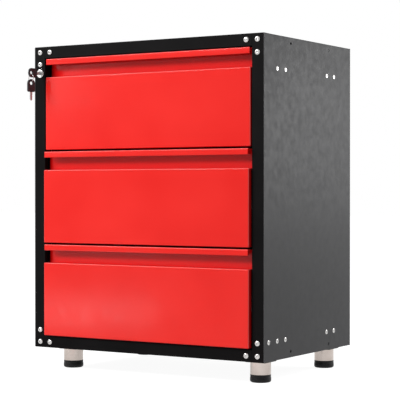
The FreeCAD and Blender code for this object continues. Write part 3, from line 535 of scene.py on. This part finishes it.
def chrome_with_painted_reflection():
    """Polished leg tubes with faint lines round them, and a painted reflection: a warm cast
    in their colour.
    """
    n = Nodes("chrome_with_painted_reflection")
    cloud = n.noise(scale=30)
    # Painted reflection: the warm tint stands in for warm surroundings mirrored in the tubes
    colour = n.tones(cloud, dark=(0.44, 0.38, 0.345), light=(0.53, 0.47, 0.435))
    lines = n.noise(scale=700, detail=2, stretch=(0.05, 0.05, 1))
    roughness = n.between(lines, low=0.14, high=0.24)
    polish = n.relief(lines, strength=0.12, distance=0.03 * MM, soften=0.3 * MM)
    return n.finish(colour, roughness, polish, Metallic=1.0)


def black_plastic():
    """Moulded black plastic with a fine spark grain, and edges paler from wear and from a
    painted highlight.
    """
    n = Nodes("black_plastic")
    cloud = n.noise(scale=120)
    colour = n.tones(cloud, dark=(0.006, 0.006, 0.006), light=(0.012, 0.012, 0.012))
    colour = n.wear_and_painted_highlight(colour, radius=0.5 * MM, edge=(0.04, 0.04, 0.039))
    roughness = n.between(n.noise(scale=200), low=0.38, high=0.55)
    spark = n.noise(scale=1800, detail=2)
    grain = n.relief(spark, strength=0.3, distance=0.05 * MM, soften=0.3 * MM)
    return n.finish(colour, roughness, grain, Specular_IOR_Level=0.2)


def key_plastic():
    """Smooth dark grey plastic of the key bows."""
    n = Nodes("key_plastic")
    cloud = n.noise(scale=150)
    colour = n.tones(cloud, dark=(0.036, 0.039, 0.044), light=(0.048, 0.052, 0.058))
    colour = n.wear_and_painted_highlight(colour, radius=0.5 * MM, edge=(0.11, 0.11, 0.12))
    roughness = n.between(n.noise(scale=250), low=0.26, high=0.4)
    skin = n.noise(scale=1500, detail=2)
    grain = n.relief(skin, strength=0.15, distance=0.04 * MM, soften=0.3 * MM)
    return n.finish(colour, roughness, grain, Specular_IOR_Level=0.25)


def nylon():
    """Natural white nylon, a little greasy."""
    n = Nodes("nylon")
    cloud = n.noise(scale=90)
    colour = n.tones(cloud, dark=(0.62, 0.61, 0.56), light=(0.72, 0.71, 0.67))
    roughness = n.between(n.noise(scale=150), low=0.35, high=0.5)
    skin = n.noise(scale=700, detail=2)
    grain = n.relief(skin, strength=0.1, distance=0.04 * MM, soften=0.3 * MM)
    return n.finish(colour, roughness, grain, Subsurface_Weight=0.05)


# The materials by slot of the record, and three finer ones that only this scene names
PAINTS = {
    "red_paint": red_enamel(),
    "grey_paint": charcoal_paint(),
    "black_paint": black_paint(),
    "tray_paint": tray_paint(),
    "zinc": zinc_plate(),
    "bright_steel": bright_steel(),
    "chrome": chrome_with_painted_reflection(),
    "black_plastic": black_plastic(),
    "nylon": nylon(),
    "black_zinc": black_zinc(),
    "key_steel": key_steel(),
    "key_plastic": key_plastic(),
}


def paint_nodes():
    """Give every CAD node the material of its slot, and the uprights a black one."""
    for row in frame["record"]["subparts"]:
        upright = row["node"].startswith("upright")
        materials = frame["nodes"][row["node"]].data.materials
        materials.clear()
        materials.append(PAINTS["black_zinc" if upright else row["material_slot"]])


# Drawer fronts

RECESS_DEPTH = 28 * MM
RECESS_HEIGHT = 47 * MM
LIP_HEIGHT = 14.8 * MM
LIP_INSET = 2.2 * MM
HEM_HEIGHT = 9 * MM
HEM_STEPS = 8

# Square metres over which a face of the folded panel counts as a flat
FLAT_AREA = 0.01


def build_front_panel(bm, low, high):
    """The panel with returns all round, open at the back, as a folded sheet."""
    shelf = high.z - RECESS_HEIGHT
    centre = Vector(((low.x + high.x) / 2, low.y + RECESS_DEPTH / 2, (low.z + shelf) / 2))
    size = Vector((high.x - low.x, RECESS_DEPTH, shelf - low.z))
    bmesh.ops.create_cube(bm, size=1, matrix=Matrix.LocRotScale(centre, None, size))
    back = [f for f in bm.faces if f.normal.y > 0.5]
    bmesh.ops.delete(bm, geom=back, context="FACES_ONLY")
    folds = [e for e in bm.edges if len(e.link_faces) == 2]
    bmesh.ops.bevel(
        bm, geom=folds, offset=BEND, segments=BEND_STEPS, profile=0.5,
        affect="EDGES", clamp_overlap=True,
    )


def build_front(number):
    """A drawer front: folded panel, recess wall and a finger lip with a hemmed edge."""
    node, body = f"drawer_front_{number}", f"drawer_{number}"
    low, high = span(node)
    bm = bmesh.new()
    build_front_panel(bm, low, high)
    panel = finished(f"front_panel_{number}", bm, PANEL_CREASE)
    crease_faces(panel, FLAT_AREA)
    sheet = panel.modifiers.new("sheet", "SOLIDIFY")
    sheet.thickness = SHEET
    sheet.offset = -1
    add_piece(panel, body, [node], "red_paint")

    half = SHEET / 2
    shelf = high.z - RECESS_HEIGHT
    front = low.y + half
    back = low.y + RECESS_DEPTH - half
    top = high.z - half
    lip = high.z - LIP_HEIGHT + half
    corners = [(back, shelf - SHEET), (back, top), (front, top), (front, lip + BEND)]
    path = rounded(corners, BEND - half)
    path += arc((front + SHEET, lip + half), SHEET, 180, 360, HEM_STEPS)
    path.append((front + 2 * SHEET, lip + HEM_HEIGHT))
    bm = bmesh.new()
    prism(bm, ribbon(path, SHEET), low.x + LIP_INSET, high.x - LIP_INSET)
    wall = ribbon([(back, shelf - SHEET), (back, high.z - BEND)], SHEET)
    for end in (low.x, high.x - LIP_INSET):
        prism(bm, wall, end, end + LIP_INSET)
    lip_sheet = finished(f"front_lip_{number}", bm, SHEET_CREASE)
    add_piece(lip_sheet, body, [], "red_paint")


# Screws. Each one is turned by so many degrees against the one before it

SPIN = 37
SOCKET = 4 * MM
FRAME_HEAD = 3.3 * MM
SIDE_HEAD = 2 * MM
SHANK_LENGTH = 7 * MM
HEAD_SIDES = 48
DOME_STEPS = 8

# Shares of the head's radius and of its rise
CROWN_SHARE = 0.42
SHANK_SHARE = 0.45
RIM_SHARE = 0.18
SOCKET_SHARE = 0.7

# The socket's chamfered mouth, as a share of its width, and the pit that its drill leaves
SOCKET_MOUTH = 1.08
SOCKET_CHAMFER = 0.2 * MM
PIT_RADIUS = 0.2 * MM
PIT_DEPTH = 0.4 * MM


def screw_head(bm, matrix, diameter, rise):
    """A button head with a hexagon socket, on its shank, along the matrix's Z."""
    radius = diameter / 2
    crown = CROWN_SHARE * radius
    rim = RIM_SHARE * rise
    shank = SHANK_SHARE * radius
    floor = rise - SOCKET_SHARE * rise
    profile = [(shank, -SHANK_LENGTH), (shank, 0), (radius, 0)]
    for x, z in arc((crown, rim), 1, 0, 90, DOME_STEPS):
        out = crown + (x - crown) * (radius - crown)
        up = rim + (z - rim) * (rise - rim)
        profile.append((out, up))
    rings = turned(profile, HEAD_SIDES)
    rings.append(hexagon_ring(SOCKET * SOCKET_MOUTH, rise, HEAD_SIDES))
    rings.append(hexagon_ring(SOCKET, rise - SOCKET_CHAMFER, HEAD_SIDES))
    rings.append(hexagon_ring(SOCKET, floor, HEAD_SIDES))
    rings.append(round_ring(PIT_RADIUS, floor - PIT_DEPTH, HEAD_SIDES))
    loft(bm, rings, matrix)


def facing(direction, place, spin=0.0):
    """A matrix whose Z points in a direction, at a place, turned about itself in degrees."""
    turn = Vector(direction).to_track_quat("Z", "Y")
    spun = Matrix.Rotation(math.radians(spin), 4, "Z")
    return Matrix.LocRotScale(place, turn, None) @ spun


def islands(node):
    """Boxes of a node's separate solids."""
    mesh = frame["nodes"][node].data
    parent = list(range(len(mesh.vertices)))

    def root(i):
        while parent[i] != i:
            parent[i] = parent[parent[i]]
            i = parent[i]
        return i

    places = {}
    for vertex in mesh.vertices:
        key = tuple(round(c, WELD_DIGITS) for c in vertex.co)
        parent[vertex.index] = places.setdefault(key, vertex.index)
    for edge in mesh.edges:
        parent[root(edge.vertices[0])] = root(edge.vertices[1])
    groups = {}
    for vertex in mesh.vertices:
        groups.setdefault(root(vertex.index), []).append(vertex.co)
    boxes = []
    for points in groups.values():
        low = Vector([min(p[i] for p in points) for i in range(3)])
        high = Vector([max(p[i] for p in points) for i in range(3)])
        boxes.append((low, high))
    return sorted(boxes, key=lambda box: tuple(box[0]))


def build_frame_screws():
    """The screws at the front frame's corners."""
    bm = bmesh.new()
    for i, (low, high) in enumerate(islands("frame_screws")):
        seat = Vector(((low.x + high.x) / 2, low.y + FRAME_HEAD, (low.z + high.z) / 2))
        screw_head(bm, facing((0, -1, 0), seat, i * SPIN), high.x - low.x, FRAME_HEAD)
    screws = finished("frame_buttons", bm, HEAD_CREASE)
    add_piece(screws, "cabinet", ["frame_screws"], "bright_steel")


def build_side_screws():
    """The screws in both side panels."""
    bm = bmesh.new()
    for i, (low, high) in enumerate(islands("side_screws")):
        side = 1 if low.x > 0 else -1
        face = high.x - SIDE_HEAD if side > 0 else low.x + SIDE_HEAD
        seat = Vector((face, (low.y + high.y) / 2, (low.z + high.z) / 2))
        screw_head(bm, facing((side, 0, 0), seat, i * SPIN), high.y - low.y, SIDE_HEAD)
    screws = finished("side_buttons", bm, HEAD_CREASE)
    add_piece(screws, "cabinet", ["side_screws"], "bright_steel")


# Lock. Profiles are pairs of radius and height in millimetres from the frame's face

LOCK_SIDES = 72
ROSETTE_RISE = 2.5
ROUND_STEPS = 6
ROSETTE = [
    (8.5, -21), (8.5, 0), (10.9, 0), *arc((9.6, 1.3), 1.3, 0, 90, ROUND_STEPS),
    (7.6, ROSETTE_RISE), (7.2, 2.1), (6.45, 1.9), (6.3, -21),
]
PLUG = [(6, -21.2), (6, 2.1), (5.6, 2.45)]

# Widths, lengths and heights of the key's slot
KEY_SLOT = [(3.4, 9.2, 2.45), (2.8, 8.6, 2.0), (2.8, 8.6, -19.5)]


def in_metres(rows):
    """Rows of millimetres in metres."""
    return [tuple(value * MM for value in row) for row in rows]


def lock_axis():
    """Where the lock's axis passes the frame's face."""
    place = middle("lock_body")
    return Vector((place.x, span("lock_body")[0].y + ROSETTE_RISE * MM, place.z))


def build_lock():
    """The rosette with its barrel, and the plug with the key's slot."""
    axis = facing((0, -1, 0), lock_axis())
    bm = bmesh.new()
    loft(bm, turned(in_metres(ROSETTE), LOCK_SIDES), axis, closed=True)
    body = finished("lock_rosette", bm, SHEET_CREASE)
    add_piece(body, "cabinet", ["lock_body"], "bright_steel")

    rings = turned(in_metres(PLUG), LOCK_SIDES)
    rings += [slot_ring(*row, LOCK_SIDES) for row in in_metres(KEY_SLOT)]
    bm = bmesh.new()
    loft(bm, rings, axis)
    plug = finished("lock_core", bm, SHEET_CREASE)
    add_piece(plug, "plug", ["lock_plug"], "bright_steel")


# Keys and ring. Start, pitch and size of the bow's grip bars are in millimetres

BOW_LENGTH = 33 * MM
BOW_WIDTH = 24 * MM
BOW_THICK = 4 * MM
BOW_ROUND = 0.48 * BOW_WIDTH
BOW_ROOT = 4 * MM
BOW_EDGE = 0.9 * MM
BOW_HOLE = 9 * MM
HOLE_INSET = 10.5 * MM
HOLE_SIDES = 32
ROOT_STEPS = 8
BOW_STEPS = 16
GRIP_EDGE_STEPS = 2
GRIP_BARS = 3
GRIP_START = 3.6
GRIP_PITCH = 2.6
GRIP_SIZE = (13, 1.1, 0.5)
GRIP_EDGE = 0.2 * MM
BLADE = 7 * MM
BLADE_THICK = 2.2 * MM
BLADE_EDGE = 0.2 * MM
BLADE_ROOT = 1 * MM
BLADE_CUT = 1 * MM

# The blade's teeth: share of its length, and 1 for the bottom of a cut or 0 for a tip
CUTS = ((0.78, 1), (0.7, 1), (0.6, 0), (0.52, 0), (0.46, 1), (0.38, 1), (0.3, 0))


def key_bow(name, matrix):
    """A moulded bow with a hole for the ring and grip bars."""
    half = BOW_WIDTH / 2
    outline = arc((half - BOW_ROOT, BOW_ROOT), BOW_ROOT, -90, 0, ROOT_STEPS)
    crown = (half - BOW_ROUND, BOW_LENGTH - BOW_ROUND)
    outline += arc(crown, BOW_ROUND, 0, 90, BOW_STEPS)
    outline += [(-x, y) for x, y in reversed(outline)]
    last = 360 * (HOLE_SIDES - 1) / HOLE_SIDES
    hole = arc((0, BOW_LENGTH - HOLE_INSET), BOW_HOLE / 2, 0, last, HOLE_SIDES - 1)
    bm = plate(f"{name}_outline", [outline, hole], BOW_THICK, BOW_EDGE)
    for row in range(GRIP_BARS):
        level = (GRIP_START + GRIP_PITCH * row) * MM
        for face in (-1, 1):
            bar = Matrix.Translation((0, level, face * BOW_THICK / 2))
            size = Matrix.Diagonal((*(side * MM for side in GRIP_SIZE), 1))
            made = bmesh.ops.create_cube(bm, size=1, matrix=bar @ size)
            edges = list({e for v in made["verts"] for e in v.link_edges})
            bmesh.ops.bevel(
                bm, geom=edges, offset=GRIP_EDGE, segments=GRIP_EDGE_STEPS, affect="EDGES"
            )
    bm.transform(matrix)
    return finished(f"{name}_bow", bm, KEY_CREASE)


def key_blade(name, matrix, length):
    """A steel blade with a pointed end and cuts along one edge."""
    edge = BLADE / 2
    points = [(-edge, BLADE_ROOT), (-edge, edge - length)]
    points += [(-BLADE_CUT, -length), (BLADE_CUT, -length), (edge, edge - length)]
    points += [(edge - BLADE_CUT * depth, -length * share) for share, depth in CUTS]
    points.append((edge, BLADE_ROOT))
    bm = plate(f"{name}_steel", [points], BLADE_THICK, BLADE_EDGE)
    bm.transform(matrix)
    return finished(f"{name}_blade", bm, KEY_CREASE)


def build_key(name, node, body, matrix, blade_length):
    """A key that stands along the matrix's Z, with its bow above the origin."""
    upright = matrix @ Matrix.Rotation(math.radians(90), 4, "X")
    add_piece(key_bow(name, upright), body, [node], "black_plastic", "key_plastic")
    blade = key_blade(name, upright, blade_length)
    add_piece(blade, body, [], "bright_steel", "key_steel")


# The spare key's turn about its own length, in degrees
SPARE_TURN = 78


def build_keys():
    """The key in the lock, and the spare one that hangs from the ring."""
    axis = lock_axis()
    low, high = span("key")
    root = low.y + BOW_LENGTH
    level = Matrix.Rotation(math.radians(90), 4, "X")
    into_lock = level @ Matrix.Rotation(math.radians(90), 4, "Z")
    place = Matrix.Translation((axis.x, root, axis.z)) @ into_lock
    build_key("key", "key", "turned_key", place, high.y - root)

    low, high = span("spare_key")
    centre = (low + high) / 2
    root = high.z - BOW_LENGTH
    turn = Matrix.Rotation(math.radians(SPARE_TURN), 4, "Z")
    place = Matrix.Translation((centre.x, centre.y, root)) @ turn
    build_key("spare", "spare_key", "hanging_keys", place, root - low.z)


# The ring's turn about the vertical, and where its wire starts, in degrees
RING_TURN = -19
RING_START = -60
RING_WIRE = 1.8 * MM
RING_TURNS = 1.98
RING_POINTS = 200

# Turns after which the wire steps over to lie beside itself, and turns that the step takes
STEP_START = 0.88
STEP_TURNS = 0.2


def build_ring():
    """A split ring: two turns of wire side by side, and the step from one to the other."""
    low, high = span("key_ring")
    centre = (low + high) / 2
    radius = (high.z - low.z - RING_WIRE) / 2
    wire = RING_WIRE / 4
    curve = bpy.data.curves.new("split_ring", "CURVE")
    curve.dimensions = "3D"
    curve.bevel_depth = wire
    curve.bevel_resolution = WIRE_ROUNDING
    curve.use_fill_caps = True
    spline = curve.splines.new("POLY")
    spline.points.add(RING_POINTS - 1)
    matrix = Matrix.Translation(centre) @ Matrix.Rotation(math.radians(RING_TURN), 4, "Z")
    for i, point in enumerate(spline.points):
        turn = RING_TURNS * i / (RING_POINTS - 1)
        share = min(max((turn - STEP_START) / STEP_TURNS, 0), 1)
        step = wire * (2 * (share * share * (3 - 2 * share)) - 1)
        angle = 2 * math.pi * turn + math.radians(RING_START)
        place = matrix @ Vector((radius * math.cos(angle), step, radius * math.sin(angle)))
        point.co = (*place, 1)
    ring = finished("split_ring", curve_mesh(curve), KEY_CREASE)
    add_piece(ring, "hanging_keys", ["key_ring"], "bright_steel")


# Legs and feet

TUBE = 50.6 * MM
TUBE_WALL = 2 * MM
TUBE_ROUND = 0.6 * MM
TUBE_ROUND_STEPS = 4
NUT_PLATE = 8 * MM
STEM = 10 * MM
STEM_PLAY = 0.3 * MM
BORE_CHAMFER = 0.5 * MM
ROUND_SIDES = 96


def build_leg_tubes():
    """Polished sleeves, each with the disc that its foot is screwed into."""
    bm = bmesh.new()
    radius = TUBE / 2
    inner = radius - TUBE_WALL
    bore = STEM / 2 + STEM_PLAY
    rim = arc((radius - TUBE_ROUND, TUBE_ROUND), TUBE_ROUND, -90, 0, TUBE_ROUND_STEPS)
    for low, high in islands("leg_tubes"):
        tall = high.z - low.z
        profile = [(bore, BORE_CHAMFER), (bore + BORE_CHAMFER, 0), *rim, (radius, tall)]
        profile += [(inner, tall), (inner, NUT_PLATE), (bore, NUT_PLATE)]
        loft(bm, turned(profile, ROUND_SIDES), on_base(low, high), closed=True)
    tubes = finished("leg_sleeves", bm, SHEET_CREASE)
    add_piece(tubes, "cabinet", ["leg_tubes"], "chrome")


THREAD_PITCH = 1.5 * MM
THREAD_DEPTH = 0.45 * MM
THREAD_SIDES = 24
THREAD_STEP = 0.25 * MM
STEM_START = 18 * MM
TREAD_STEPS = 8

# Radius of the tread's edge in millimetres
TREAD_ROUND = 5


def thread_ring(height, radius, count):
    """One ring of a threaded stem: its radius follows the thread's helix."""
    ring = []
    for i in range(count):
        turn = i / count
        angle = 2 * math.pi * turn
        phase = (height / THREAD_PITCH - turn) % 1
        reach = radius - THREAD_DEPTH * abs(2 * phase - 1)
        ring.append((reach * math.cos(angle), reach * math.sin(angle), height))
    return ring


def cap_profile(radius):
    """Radius and height in millimetres of a foot: tread, groove, waist and collar."""
    tread = arc((radius - TREAD_ROUND, TREAD_ROUND), TREAD_ROUND, -90, 0, TREAD_STEPS)
    return [
        (0.5, 0.8), (12, 0.8), (13, 0), (16, 0), (16.6, 0.7), (17.4, 0.7), (18, 0), *tread,
        (radius, 8.6), (radius - 0.5, 9), (radius - 0.5, 9.6), (radius, 10),
        (radius, 11), (radius - 0.6, 12.4), (radius - 0.6, 17.6), (radius - 0.3, 18),
        (radius - 0.4, 18.7), (radius - 1, 19), (6.4, 19), (5.6, 18.4), (2, 18.4),
    ]


def build_foot(name):
    """A cap with a rounded tread, a groove and a collar, moulded on a threaded stem."""
    node = f"foot_{name}"
    low, high = span(node)
    place = on_base(low, high)
    radius = (high.x - low.x) / 2 / MM
    bm = bmesh.new()
    loft(bm, turned(in_metres(cap_profile(radius)), ROUND_SIDES), place)
    cap = finished(f"foot_cap_{name}", bm, HEAD_CREASE)
    add_piece(cap, node, [node], "black_plastic")

    length = high.z - low.z - STEM_START
    steps = int(length / THREAD_STEP)
    levels = [STEM_START + length * i / steps for i in range(steps + 1)]
    bm = bmesh.new()
    loft(bm, [thread_ring(level, STEM / 2, THREAD_SIDES) for level in levels], place)
    stem = finished(f"foot_stem_{name}", bm, THREAD_CREASE)
    add_piece(stem, node, [], "zinc")


# Stage, light and camera

FLOOR_REACH = 20
FLOOR_GLOW = 0.94
SURROUND_SEEN = 1.0
SURROUND_LIT = 0.42

# Name, place, target, width, height and watts. The first lamp lights the fronts, the next
# two light the side, and the fronts' gloss mirrors the last two as pale patches
LAMPS = (
    ("key_light", (-2.5, -3.4, 2.7), (0, 0, 0.5), 3.0, 0.9, 192),
    ("side_light", (1.04, 1.0, 0.7), (0.34, 0.25, 0.4), 0.6, 0.6, 9),
    ("crown_light", (1.24, -0.6, 1.8), (0.34, -0.05, 0.75), 0.6, 0.6, 3),
    ("low_light", (-0.87, -1.2, 0.05), (-0.15, -0.2155, 0.13), 0.4, 0.08, 0.45),
    ("left_light", (-2.41, -3.0, 0.965), (-0.27, -0.2155, 0.72), 0.16, 0.16, 0.6),
)

# The camera as fitted to the photograph: millimetres, metres, and degrees
LENS = 128.07
SENSOR = 36
CAMERA_PLACE = (1.96727, -3.11679, 0.46384)
CAMERA_DIP = 0.401
CAMERA_TURN = 31.784
NEAR = 0.1
FAR = 60


def seen_directly(tree):
    """1 for rays that look at a thing, in the picture, a mirror or glass, and 0 for light."""
    rays = tree.nodes.new("ShaderNodeLightPath")
    total = rays.outputs["Is Camera Ray"]
    for name in ("Is Glossy Ray", "Is Transmission Ray"):
        add = tree.nodes.new("ShaderNodeMath")
        add.operation = "MAXIMUM"
        tree.links.new(total, add.inputs[0])
        tree.links.new(rays.outputs[name], add.inputs[1])
        total = add.outputs["Value"]
    return total


def light_table():
    """Pale grey where it lights the cabinet, and white where it is looked at."""
    n = Nodes("light_table")
    cloud = n.noise(scale=3, detail=2)
    colour = n.tones(cloud, dark=(0.30, 0.30, 0.30), light=(0.31, 0.31, 0.31))
    roughness = n.between(n.noise(scale=6, detail=2), low=0.85, high=0.9)
    normal = n.bump(n.noise(scale=300, detail=2), strength=0.02, distance=0.05 * MM)
    glow = n.between(seen_directly(n.tree), low=0, high=FLOOR_GLOW, start=0, end=1)
    n.link(glow, n.shader.inputs["Emission Strength"])
    white = {"Emission_Color": (1, 1, 1, 1)}
    return n.finish(colour, roughness, normal, Specular_IOR_Level=0.0, **white)


def build_floor():
    """The table under the cabinet."""
    bm = bmesh.new()
    corners = [(-1, -1), (1, -1), (1, 1), (-1, 1)]
    bm.faces.new([bm.verts.new((x * FLOOR_REACH, y * FLOOR_REACH, 0)) for x, y in corners])
    floor = finished("studio_floor", bm, SHEET_CREASE)
    floor.data.materials.append(light_table())


def build_world(seen, lit):
    """A white surround, with one level where it is looked at and one where it gives light."""
    world = bpy.data.worlds.new("studio")
    bpy.context.scene.world = world
    world.use_nodes = True
    tree = world.node_tree
    ground = tree.nodes["Background"]
    ground.inputs["Color"].default_value = (1, 1, 1, 1)
    level = tree.nodes.new("ShaderNodeMapRange")
    level.inputs["To Min"].default_value = lit
    level.inputs["To Max"].default_value = seen
    tree.links.new(seen_directly(tree), level.inputs["Value"])
    tree.links.new(level.outputs["Result"], ground.inputs["Strength"])


def add_softbox(name, place, target, width, height, power):
    """A rectangular lamp that looks at a target and isn't in the picture itself."""
    lamp = bpy.data.lights.new(name, "AREA")
    lamp.shape = "RECTANGLE"
    lamp.size = width
    lamp.size_y = height
    lamp.energy = power
    item = bpy.data.objects.new(name, lamp)
    bpy.context.scene.collection.objects.link(item)
    item.location = place
    item.visible_camera = False
    item.rotation_euler = (Vector(target) - Vector(place)).to_track_quat("-Z", "Y").to_euler()


def build_camera():
    """The photograph's camera."""
    data = bpy.data.cameras.new("camera")
    data.lens = LENS
    data.sensor_width = SENSOR
    data.clip_start = NEAR
    data.clip_end = FAR
    camera = bpy.data.objects.new("camera", data)
    bpy.context.scene.collection.objects.link(camera)
    camera.location = CAMERA_PLACE
    camera.rotation_euler = (math.radians(90 - CAMERA_DIP), 0, math.radians(CAMERA_TURN))
    bpy.context.scene.camera = camera


build_camera()
paint_nodes()
for number in DRAWERS:
    build_front(number)
build_frame_screws()
build_side_screws()
build_lock()
build_keys()
build_ring()
build_leg_tubes()
for name in FEET:
    build_foot(name)
build_floor()
build_world(SURROUND_SEEN, SURROUND_LIT)
for lamp in LAMPS:
    add_softbox(*lamp)
bpy.context.scene.view_settings.view_transform = "Standard"
